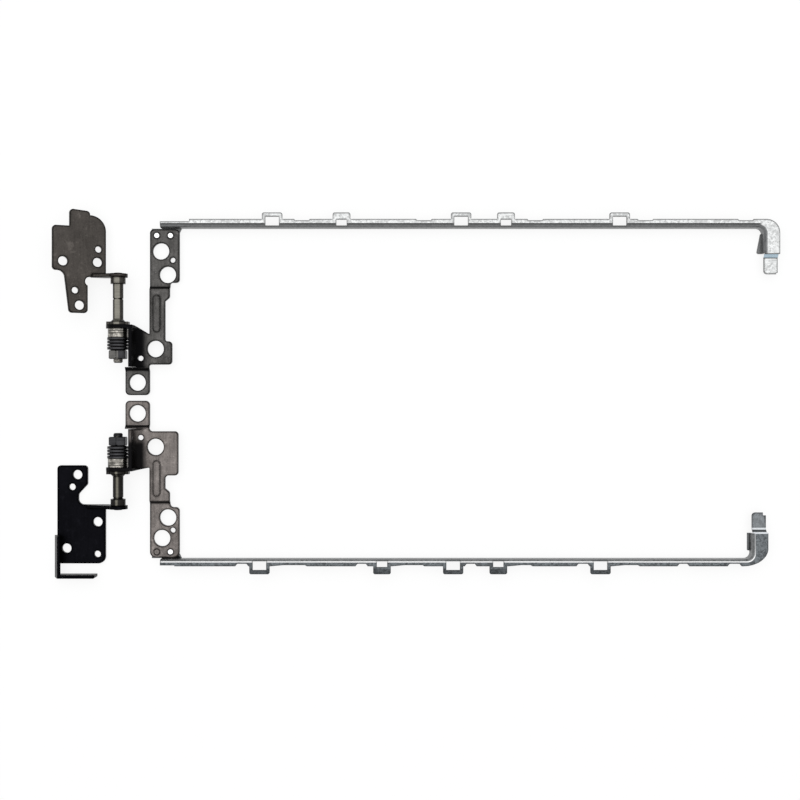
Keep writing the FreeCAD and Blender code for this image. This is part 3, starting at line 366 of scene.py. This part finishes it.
def zinc_finish(side, contrast, edge_shade_share):
    """Zinc plating on a rail: a fine crystal spangle, cloudy patches, drawn lines along the rail and dark
    specks. The fold and the web carry painted shading, painted shade on the left and painted light on the
    right, and the joggle of the hook, which the distance in from the tip's end finds, a painted reflection on
    the left and painted shade on the right, with its creases painted shade on the left and painted highlights
    on the right. The left flange has a band of painted shade with a darker painted shade line beside its fold,
    and the right rail a painted highlight where its fold starts, painted shade on its clip tabs and a faint
    painted highlight on its tip. Cut edges get painted shade by the edge shade share."""
    finishes = bpy.context.scene.hinge_finishes
    sizes = bpy.context.scene.hinge_sizes
    zinc, fold, fold_line, joggle = (getattr(finishes, f"{side}_{part}")
                                     for part in ("zinc", "fold", "fold_line", "joggle"))
    low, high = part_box(f"{side}_rail")
    material, place = new_finish(f"{side}_zinc")
    level = place.axis("Z")
    along = place.axis("Y")
    inward = along - low.y if side == "left" else high.y - along
    soft = 0.06 * MM

    spangle = place.cells(scale=1700.0)
    cloud = place.noise(scale=120.0, detail=4.0)
    drawn = place.noise(scale=900.0, detail=2.0, stretch=(0.04, 1.0, 1.0))
    speck = place.noise(scale=2300.0, detail=2.0).ramp(low=0.58, high=0.68)
    tone = (0.45 * spangle + 0.35 * cloud + 0.30 * drawn).ramp(low=0.25, high=0.85)
    tone = (tone - 0.45 * speck).clamp()

    tip_end = sizes.tip_length
    joggle_end = tip_end + sizes.joggle_length
    on_tip = 1.0 - inward.ramp(tip_end, tip_end + soft)
    face_start = high.z - 2 * sizes.fold_start
    on_face = either(level.ramp(face_start, high.z - sizes.fold_start), on_tip)
    if side == "left":
        # The left flange's dull band is painted shade, with a darker painted shade line along it.
        run_end = high.x - sizes.run_end
        on_run = 1.0 - place.axis("X").ramp(run_end, run_end + sizes.run_fade)
        from_tabs = high.y - along
        on_face = on_face * (1.0 - from_tabs.ramp(sizes.band_start - soft, sizes.band_start) * on_run)
        on_line = from_tabs.window(sizes.band_start, sizes.band_start + sizes.band_line, soft) * on_run
        line_share = 0.9
    else:
        # The right rail's line where its fold starts is a painted highlight; rubbed only sets its share, weaker
        # near the hook.
        on_line = level.window(high.z - sizes.fold_line, face_start, sizes.fold_start) * (1.0 - on_tip)
        rubbed = 0.15 + 0.85 * inward.ramp(2 * tip_end, 2 * tip_end + joggle_end)
        line_share = rubbed * (0.45 + 0.55 * drawn)
    crease = CREASE[side]
    on_joggle = inward.window(tip_end + crease, joggle_end - crease, soft)
    on_creases = either(inward.window(tip_end - crease, tip_end + crease, soft),
                        inward.window(joggle_end - crease, joggle_end + crease, soft))

    shade = tone.mix(tinted(zinc, 1.0 - contrast), tinted(zinc, 1.0 + 0.35 * contrast))
    # Fold and web colour: painted shade on the left rail, painted light on the right rail.
    painted_fold_shading = tone.mix(tinted(fold, 1.0 - 0.5 * contrast), tinted(fold, 1.0 + 0.25 * contrast))
    shade = on_face.mix(painted_fold_shading, shade)
    if side == "right":
        # Painted shade on the right rail's clip tabs, and a faint painted highlight on its tip.
        on_tabs = 1.0 - (along - low.y).ramp(sizes.tab_reach - soft, sizes.tab_reach)
        shade = on_tabs.over(shade, BLACK, share=0.5)
        shade = on_tip.over(shade, tinted(joggle), share=0.12)
    shade = on_line.over(shade, tinted(fold_line), share=line_share)
    # Painted shade along the rail's cut edges.
    shade = place.edges(sizes.rail_edge_shade).over(shade, tinted(zinc, 0.22), share=edge_shade_share)
    # Hook creases: painted shade on the left, painted highlights on the right; joggle: painted reflection on
    # the left, painted shade on the right.
    if side == "left":
        painted_crease_shading, painted_joggle_shading = tinted(zinc, 0.12), tinted(joggle)
    else:
        painted_crease_shading, painted_joggle_shading = tinted(joggle), tinted(zinc, 0.25)
    shade = on_creases.over(shade, painted_crease_shading, share=0.8)
    shade = on_joggle.over(shade, painted_joggle_shading, share=0.85)
    roughness = 0.24 + 0.16 * spangle + 0.10 * cloud
    close_finish(place, shade, roughness, metallic=0.92, grain=spangle + 0.6 * drawn, strength=0.10)
    return material


def plate_finish(node, base, contrast, rough, painted_shade_mask=None):
    """Dark plating on pressed sheet: cloudy tone, rolled grain, fine pitting, pale specks and rubbed spots,
    and painted shade along the cut edges. The mask, a function of the place, says where black painted shade
    lies."""
    material, place = new_finish(f"{node}_plating")
    cloud = place.noise(scale=95.0, detail=4.0)
    patch = place.noise(scale=330.0, detail=3.0)
    grain = place.noise(scale=2400.0, detail=2.0)
    rolled = place.noise(scale=1500.0, detail=2.0, stretch=(1.0, 0.08, 1.0))
    pits = place.noise(scale=3300.0, detail=1.0).ramp(low=0.60, high=0.72)
    specks = place.noise(scale=2900.0, detail=1.0).ramp(low=0.66, high=0.74)
    rubbed = (place.noise(scale=700.0, detail=2.0) * patch).ramp(low=0.30, high=0.46)
    painted_edge_shade = place.edges(bpy.context.scene.hinge_sizes.plate_edge_shade)
    tone = (0.42 * cloud + 0.33 * patch + 0.25 * rolled + 0.18 * grain).ramp(low=0.35, high=0.82)
    shade = tone.mix(tinted(base, 1.0 - contrast), tinted(base, 1.0 + contrast))
    shade = rubbed.over(shade, tinted(base, 1.9), share=0.55)
    shade = pits.over(shade, tinted(base, 0.35), share=0.5)
    shade = specks.over(shade, tinted(base, 2.4), share=0.6)
    # Painted shade along the cut edges and hole rims.
    shade = painted_edge_shade.over(shade, tinted(base, 0.10), share=0.95)
    if painted_shade_mask is not None:
        # Black painted shade on the bracket's joggles and wing.
        shade = painted_shade_mask(place, cloud).mix(shade, BLACK)
    roughness = rough + 0.14 * patch - 0.10 * rubbed + 0.12 * pits
    close_finish(place, shade, roughness, metallic=1.0, grain=grain + 0.7 * rolled - 0.8 * pits, strength=0.16)
    return material


def display_painted_shade(side):
    """Where black painted shade lies on a display bracket: on the joggles, whose height lies between its two
    flats, and on the wing, which stands higher than the strip beside the shaft. On the right wing the painted
    shade lies only near its ear."""
    sizes = bpy.context.scene.hinge_sizes
    line = shaft_line(side)
    strip = sizes.strip_height
    reach = sizes.wing_reach
    black_end = sizes.right_black
    black_fade = sizes.right_fade
    soft = 0.08 * MM

    def mask(place, cloud):
        level = place.axis("Z")
        joggle = level.window(sizes.land_height + 2 * soft, strip - 2 * soft, soft)
        across = place.axis("X") - line[0]
        near = 1.0 - across.ramp(reach - sizes.wing_fade, reach)
        wing = level.ramp(strip - 4 * soft, strip + soft) * near
        if side == "right":
            inward = place.axis("Y") - line[1]
            faded = (inward + black_fade * cloud).ramp(black_end, black_end + black_fade)
            wing = wing * (1.0 - 0.85 * faded)
        return either(0.92 * joggle, 0.97 * wing)

    return mask


def turned_finish(name, base, contrast, rough, bright=None, painted_light_mask=None, stain=0.0):
    """Turned steel: fine rings round the shaft's line, oil patches, small bright nicks and painted shade along
    the edges. The mask, a function of the place, says where the bright colour lies, which is painted light: a
    highlight on the shafts and a lit side on the left nut. Stain is the share of dark oil spots."""
    material, place = new_finish(name)
    rings = place.noise(scale=5200.0, detail=2.0, stretch=(0.03, 1.0, 0.03))
    oil = place.noise(scale=420.0, detail=3.0)
    nicks = place.noise(scale=2100.0, detail=2.0).ramp(low=0.64, high=0.74)
    painted_ring_shade = place.edges(bpy.context.scene.hinge_sizes.ring_edge_shade)
    tone = (0.6 * rings + 0.5 * oil).ramp(low=0.3, high=0.8)
    shade = tone.mix(tinted(base, 1.0 - contrast), tinted(base, 1.0 + contrast))
    shade = nicks.over(shade, tinted(base, 2.0), share=0.6)
    if painted_light_mask is not None:
        ground = tone.mix(tinted(bright, 1.0 - contrast), tinted(bright, 1.0 + contrast))
        shade = painted_light_mask(place).mix(shade, ground)
    if stain:
        spots = place.noise(scale=900.0, detail=2.0).ramp(low=0.42, high=0.54)
        shade = spots.over(shade, tinted(base, 0.28), share=stain)
    # Painted shade along the edges, dark between stacked washers and springs.
    shade = painted_ring_shade.over(shade, tinted(base, 0.15), share=0.9)
    roughness = rough + 0.14 * oil + 0.08 * rings
    close_finish(place, shade, roughness, metallic=1.0, grain=rings, strength=0.12)
    return material


def shaft_painted_highlight(side):
    """Where a shaft has a painted highlight: in a strip along the middle of its flats, and on what stands as
    high there. The right shaft's painted highlight is only a thin line."""
    across, _, height = shaft_line(side)
    flat = bpy.context.scene.hinge_sizes.flat_height
    strip, fade = SHAFT_STRIP[side]
    soft = 0.03 * MM

    def mask(place):
        top = abs(place.axis("Z") - height).ramp(flat - 2 * soft, flat - soft)
        middle = abs(place.axis("X") - across)
        return top * (1.0 - middle.ramp(strip, strip + fade))

    return mask


def painted_lit_side(side):
    """Where a lock nut has a painted lit side: the side that looks away from the display bracket."""
    past_middle = shaft_line(side)[0] + 0.5 * MM
    soft = 0.25 * MM

    def mask(place):
        return 1.0 - place.axis("X").ramp(past_middle, past_middle + soft)

    return mask


def rivet_finish(node, base):
    """A rivet's head: bright steel with a painted shadow at its rim and a grey dot, by the distance from the
    rivet's middle.
    """
    low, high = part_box(node)
    middle = (low + high) / 2
    radius = (high.x - low.x) / 2
    material, place = new_finish(f"{node}_steel")
    flat = place.node("ShaderNodeVectorMath", {"operation": "MULTIPLY"}, {0: place, 1: (1.0, 1.0, 0.0)})
    away = place.node("ShaderNodeVectorMath", {"operation": "DISTANCE"},
                      {0: flat, 1: (middle.x, middle.y, 0.0)}, output="Value")
    painted_rim_shadow = away.ramp(0.88 * radius, radius)
    dot = 1.0 - away.ramp(0.16 * radius, 0.34 * radius)
    cloud = place.noise(scale=1500.0, detail=3.0)
    shade = cloud.mix(tinted(base, 0.75), tinted(base, 1.1))
    shade = dot.over(shade, tinted(base, 0.35), share=0.55)
    shade = painted_rim_shadow.over(shade, tinted(base, 0.10), share=0.9)
    close_finish(place, shade, 0.22 + 0.16 * cloud, metallic=1.0, grain=cloud, strength=0.1)
    return material


def coat_nodes(nodes, material):
    """Give each object this material alone."""
    for item in nodes:
        item.data.materials.clear()
        item.data.materials.append(material)


def mesh_piece(name, points, faces):
    """A smooth-shaded object at the origin from whole arrays of points and faces."""
    mesh = bpy.data.meshes.new(name)
    mesh.from_pydata(points.tolist(), [], faces.tolist())
    mesh.polygons.foreach_set("use_smooth", np.ones(len(faces), dtype=bool))
    mesh.update()
    piece = bpy.data.objects.new(name, mesh)
    bpy.context.scene.collection.objects.link(piece)
    return piece


def edge_cuts(edge):
    """Start, end, length of the first slope and depth of each recess and notch."""
    recesses = [(start, end, edge.recess_slope, edge.recess) for start, end in RIGHT_RECESSES]
    return recesses + [(start, end, edge.slope, edge.notch) for start, end in RIGHT_NOTCHES]


def edge_depth(along, edge):
    """How deep the flange's edge is cut at each place along the rail: the trim, and a flat-bottomed trapezium
    with sloped ends for each recess and each notch, of which the deepest counts."""
    depth = np.full_like(along, edge.trim)
    for start, end, first_slope, extra in edge_cuts(edge):
        rise = np.minimum((along - start) / first_slope, (end - along) / edge.slope)
        depth = np.maximum(depth, edge.trim + extra * np.clip(rise, 0.0, 1.0))
    return depth


def bar_along(stations, inner, outer, low, high):
    """A closed bar: a rectangle carried along the rail, from the outer to the inner line at each station."""
    corners = ((inner, low), (outer, low), (outer, high), (inner, high))
    count = len(corners)
    level = np.zeros_like(stations)
    points = np.stack([np.stack([stations, level + y, level + z], axis=-1) for y, z in corners], axis=1)
    row = np.arange(len(stations) - 1)[:, None] * count
    column = np.arange(count)[None, :]
    after = (column + 1) % count
    sides = np.stack([row + column, row + count + column, row + count + after, row + after], axis=-1)
    first_cap = np.arange(count)
    last_cap = count * len(stations) - 1 - first_cap
    return points.reshape(-1, 3), np.concatenate([sides.reshape(-1, count), [first_cap, last_cap]])


def flange_bars(edge, low, high):
    """The bars that cut the right rail. One lies along each run of the flange, with the edge as its inner
    line, and the last of these goes on round the hook's corner in a quarter of an ellipse: along by the sine
    and across by one less the cosine of its angle. One more takes back the flap inside the hook."""
    start = high.x - RIGHT_LENGTH
    line = low.y + edge.clip_reach
    bends = [place for begin, end, first_slope, _ in edge_cuts(edge)
             for place in (begin, begin + first_slope, end - edge.slope, end)]
    bars = []
    for run in RIGHT_RUNS:
        first, last = run
        stations = np.unique([first, last] + [place for place in bends if first < place < last])
        inner = line + edge_depth(stations, edge)
        if run == RIGHT_RUNS[-1]:
            angle = np.linspace(0.0, math.pi / 2, CORNER_STEPS)[1:]
            corner = line + edge.trim + edge.corner_wide * (1.0 - np.cos(angle))
            stations = np.concatenate([stations, last + edge.corner_long * np.sin(angle),
                                       [RIGHT_LENGTH + edge.trim]])
            inner = np.concatenate([inner, corner, corner[-1:]])
        bars.append(bar_along(start + stations, inner, low.y - edge.trim,
                              high.z - edge.cut_below, high.z + edge.trim))
    flap = high.x - edge.flap_edge + np.array([-edge.flap_cut, 0.0])
    flap_start = low.y + edge.flap_start
    flap_end = np.full_like(flap, flap_start + edge.flap_run)
    bars.append(bar_along(flap, flap_end, flap_start, low.z - edge.trim, low.z + edge.flap_height))
    return bars


def joined(meshes):
    """The points and faces of several meshes as one."""
    firsts = np.cumsum([0] + [len(points) for points, _ in meshes])
    points = np.concatenate([points for points, _ in meshes])
    return points, np.concatenate([faces + first for (_, faces), first in zip(meshes, firsts)])


def clean_mesh(mesh):
    """Merge a mesh's doubled points, drop faces without area and turn the faces outwards."""
    shape = bmesh.new()
    shape.from_mesh(mesh)
    bmesh.ops.remove_doubles(shape, verts=shape.verts, dist=WATERTIGHT)
    bmesh.ops.dissolve_degenerate(shape, edges=shape.edges, dist=WATERTIGHT)
    bmesh.ops.recalc_face_normals(shape, faces=shape.faces)
    shape.to_mesh(mesh)
    shape.free()


def cut_copy(node, name, cutter):
    """A copy of a node's mesh less the cutter, which is used up, with its round faces shaded smooth."""
    piece = bpy.data.objects.new(name, node.data.copy())
    bpy.context.scene.collection.objects.link(piece)
    clean_mesh(piece.data)
    clean_mesh(cutter.data)
    cut = piece.modifiers.new("cut", "BOOLEAN")
    cut.operation = "DIFFERENCE"
    cut.solver = "EXACT"
    cut.object = cutter
    bpy.context.view_layer.update()
    mesh = bpy.data.meshes.new_from_object(piece.evaluated_get(bpy.context.evaluated_depsgraph_get()))
    piece.modifiers.clear()
    piece.data = mesh
    bpy.data.objects.remove(cutter)
    clean_mesh(mesh)
    mesh.shade_smooth()
    mesh.set_sharp_from_angle(angle=SHARP_ANGLE)
    even = piece.modifiers.new("even_shading", "WEIGHTED_NORMAL")
    even.keep_sharp = True
    even.weight = 100
    return piece


class HINGE_OT_flange(bpy.types.Operator):
    """Cut the right rail's flange, hook corner and flap to their shapes"""

    bl_idname = "hinge.flange"
    bl_label = "Right flange"

    def execute(self, context):
        low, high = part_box("right_rail")
        cutter = mesh_piece("flange_cutter", *joined(flange_bars(context.scene.hinge_flange, low, high)))
        rail = cut_copy(NODES["right_rail"], "right_rail_notched", cutter)
        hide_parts("right_rail")
        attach(rail, "display_arms")
        return {"FINISHED"}


class HINGE_OT_rails(bpy.types.Operator):
    """Give the two side rails their zinc plating, with painted shade and painted highlights"""

    bl_idname = "hinge.rails"
    bl_label = "Rails"

    def execute(self, context):
        coat_nodes([NODES["left_rail"]], zinc_finish("left", contrast=0.42, edge_shade_share=0.95))
        coat_nodes([NODES["right_rail"], bpy.data.objects["right_rail_notched"]],
                   zinc_finish("right", contrast=0.60, edge_shade_share=0.6))
        return {"FINISHED"}


class HINGE_OT_brackets(bpy.types.Operator):
    """Give the display brackets and the base plates their dark platings, with painted shade on edges, joggles
    and wings
    """

    bl_idname = "hinge.brackets"
    bl_label = "Brackets"

    def execute(self, context):
        finishes = context.scene.hinge_finishes
        platings = {
            "left_display_bracket": {"base": finishes.left_bracket, "contrast": 0.58, "rough": 0.34,
                                     "painted_shade_mask": display_painted_shade("left")},
            "right_display_bracket": {"base": finishes.right_bracket, "contrast": 0.58, "rough": 0.32,
                                      "painted_shade_mask": display_painted_shade("right")},
            "left_base_bracket": {"base": finishes.left_base, "contrast": 0.34, "rough": 0.40},
            "right_base_bracket": {"base": finishes.right_base, "contrast": 0.30, "rough": 0.38},
        }
        for node, plating in platings.items():
            coat_nodes([NODES[node]], plate_finish(node, **plating))
        return {"FINISHED"}


class HINGE_OT_stacks(bpy.types.Operator):
    """Give the shafts, washers, springs, nuts and rivets their steels, with painted shade on edges and rims and
    painted highlights on the shafts and the left nut
    """

    bl_idname = "hinge.stacks"
    bl_label = "Friction stacks"

    def execute(self, context):
        finishes = context.scene.hinge_finishes
        for side in SIDES:
            steel = turned_finish(f"{side}_shaft_steel", getattr(finishes, f"{side}_shaft"), contrast=0.30,
                                  rough=0.26, bright=getattr(finishes, f"{side}_flat"),
                                  painted_light_mask=shaft_painted_highlight(side))
            coat_nodes([NODES[f"{side}_shaft"], NODES[f"{side}_stop_washer"]], steel)
        coat_nodes(named("ear_washer", "shaft_washer", "pressure_washer"),
                   turned_finish("washer_steel", finishes.washer, contrast=0.35, rough=0.18, stain=0.8))
        coat_nodes([NODES["right_lock_nut"], *named(*SPRINGS)],
                   turned_finish("black_oxide", finishes.oxide, contrast=0.40, rough=0.30))
        # The left lock nut's oxide with a painted lit side.
        coat_nodes([NODES["left_lock_nut"]],
                   turned_finish("worn_oxide", finishes.oxide, contrast=0.40, rough=0.28,
                                 bright=finishes.left_nut_lit_side, painted_light_mask=painted_lit_side("left")))
        for node in (f"{side}_{rivet}" for side in SIDES for rivet in RIVETS):
            base = finishes.right_bracket if node == DARK_RIVET else finishes.rivet
            coat_nodes([NODES[node]], rivet_finish(node, base))
        return {"FINISHED"}


def thread_surface(start, reach, radius, pitch, depth, turn):
    """A thread's skin as a grid of turns and steps: the radius rises from the core to the crest and back as a
    smooth wave of the distance along the shaft less the turn's share of the pitch. At both ends it fades and
    sinks a little into the shaft."""
    rounds = 48
    steps = 64
    fade_rate = 6.0
    sink = 0.25
    angle = np.linspace(0.0, 2 * math.pi, rounds, endpoint=False)[None, :]
    share = np.linspace(0.0, 1.0, steps)[:, None]
    along = share * reach
    wave = 0.5 - 0.5 * np.cos(2 * math.pi * (along / pitch - turn * angle / (2 * math.pi)))
    fade = np.clip(np.minimum(share, 1.0 - share) * fade_rate, 0.0, 1.0)
    grown = radius + depth * (wave * fade - sink * (1.0 - fade))
    x = start[0] + grown * np.cos(angle)
    y = start[1] + turn * along + 0.0 * angle
    z = start[2] + grown * np.sin(angle)
    points = np.stack([x, y, z], axis=-1).reshape(-1, 3)
    row = np.arange(steps - 1)[:, None] * rounds
    column = np.arange(rounds)[None, :]
    after = (column + 1) % rounds
    corners = [row + column, row + after, row + rounds + after, row + rounds + column]
    if turn > 0:
        corners.reverse()
    faces = np.stack(corners, axis=-1).reshape(-1, 4)
    return points, faces


class HINGE_OT_threads(bpy.types.Operator):
    """Cut the threads that stand out of the lock nuts"""

    bl_idname = "hinge.threads"
    bl_label = "Shaft threads"

    def execute(self, context):
        sizes = context.scene.hinge_sizes
        finishes = context.scene.hinge_finishes
        for side, turn, base in zip(SIDES, (-1, 1), (finishes.washer, finishes.oxide)):
            shaft_low, shaft_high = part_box(f"{side}_shaft")
            nut_low, nut_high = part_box(f"{side}_lock_nut")
            face, tip = (nut_low.y, shaft_low.y) if turn < 0 else (nut_high.y, shaft_high.y)
            reach = abs(tip - face) - sizes.thread_chamfer
            line = shaft_line(side)
            points, faces = thread_surface((line[0], face, line[2]), reach, sizes.thread_radius,
                                           sizes.thread_pitch, sizes.thread_depth, turn)
            piece = mesh_piece(f"{side}_shaft_thread", points, faces)
            coat_nodes([piece], turned_finish(f"{side}_thread_steel", base, contrast=0.5, rough=0.28))
            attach(piece, f"{side}_base")
        return {"FINISHED"}


def floor_finish(share):
    """A white floor: part of its white is its own, seen by the camera and in reflections, and the rest is
    lit."""
    material, place = new_finish("white_floor")
    seen = place.seen()
    tone = place.noise(scale=40.0).mix(*FLOOR_TONES)
    lit = place.node("ShaderNodeBsdfDiffuse", {}, {"Color": tone})
    white = place.node("ShaderNodeEmission", {}, {"Color": WHITE, "Strength": 1.0})
    blend = place.node("ShaderNodeMixShader", {}, {0: seen * share, 1: lit, 2: white})
    place.node("ShaderNodeOutputMaterial", {}, {"Surface": blend})
    return material


def studio_sky(zenith, horizon):
    """A plain dome that looks white and whose light is brightest overhead."""
    world = bpy.data.worlds.new("studio_dome")
    world.use_nodes = True
    world.node_tree.nodes.clear()
    way = Wire(world.node_tree).node("ShaderNodeTexCoord", output="Generated")
    glow = horizon + way.axis("Z").ramp(low=0.05, high=0.95) * (zenith - horizon)
    strength = glow + way.seen() * (1.0 - glow)
    back = way.node("ShaderNodeBackground", {}, {"Color": WHITE, "Strength": strength})
    way.node("ShaderNodeOutputWorld", {}, {"Surface": back})
    return world


class HINGE_OT_studio(bpy.types.Operator):
    """Set the floor, the light and the camera"""

    bl_idname = "hinge.studio"
    bl_label = "Studio"

    def execute(self, context):
        scene = context.scene
        studio = scene.hinge_studio
        reach = studio.floor_reach
        level = CAD_BOX[0][2]
        corners = np.array([[-reach, -reach, level], [reach, -reach, level], [reach, reach, level],
                            [-reach, reach, level]])
        floor = mesh_piece("studio_floor", corners, np.array([[0, 1, 2, 3]]))
        coat_nodes([floor], floor_finish(studio.floor_white))
        scene.world = studio_sky(studio.sky_zenith, studio.sky_horizon)
        lamp = bpy.data.lights.new("overhead_soft_light", "AREA")
        lamp.shape = "SQUARE"
        lamp.size = studio.lamp_size
        lamp.energy = studio.lamp_watts
        holder = bpy.data.objects.new("overhead_soft_light", lamp)
        holder.location = (studio.lamp_across, studio.lamp_along, studio.lamp_height)
        holder.rotation_euler = (-math.atan2(studio.lamp_along, studio.lamp_height),
                                 math.atan2(studio.lamp_across, studio.lamp_height), 0.0)
        scene.collection.objects.link(holder)
        view = bpy.data.cameras.new("photo_camera")
        view.lens = studio.lens
        view.sensor_width = studio.sensor
        view.clip_start = studio.camera_near
        camera = bpy.data.objects.new("photo_camera", view)
        camera.location = (studio.camera_across, studio.camera_along, level + studio.camera_height)
        scene.collection.objects.link(camera)
        scene.camera = camera
        scene.view_settings.view_transform = "Standard"
        return {"FINISHED"}


class HINGE_PT_panel(bpy.types.Panel):
    """Sidebar list of the hinge operators and settings"""

    bl_idname = "HINGE_PT_panel"
    bl_label = "Laptop hinges"
    bl_space_type = "VIEW_3D"
    bl_region_type = "UI"
    bl_category = "Hinges"

    def draw(self, context):
        for operator in OPERATORS:
            self.layout.operator(operator.bl_idname)
        for group in (getattr(context.scene, name) for name in GROUPS):
            box = self.layout.box()
            for name in group.__annotations__:
                box.prop(group, name)


OPERATORS = (
    HINGE_OT_flange, HINGE_OT_rails, HINGE_OT_brackets, HINGE_OT_stacks, HINGE_OT_threads, HINGE_OT_studio,
)
GROUPS = {
    "hinge_finishes": HingeFinishes,
    "hinge_sizes": HingeSizes,
    "hinge_flange": HingeFlange,
    "hinge_studio": HingeStudio,
}


def register():
    for item in (*GROUPS.values(), *OPERATORS, HINGE_PT_panel):
        bpy.utils.register_class(item)
    for name, group in GROUPS.items():
        setattr(bpy.types.Scene, name, bpy.props.PointerProperty(type=group))


def unregister():
    for name in GROUPS:
        delattr(bpy.types.Scene, name)
    for item in reversed((*GROUPS.values(), *OPERATORS, HINGE_PT_panel)):
        bpy.utils.unregister_class(item)


def main():
    register()
    bpy.ops.hinge.flange()
    bpy.ops.hinge.rails()
    bpy.ops.hinge.brackets()
    bpy.ops.hinge.stacks()
    bpy.ops.hinge.threads()
    bpy.ops.hinge.studio()


if __name__ == "__main__":
    main()
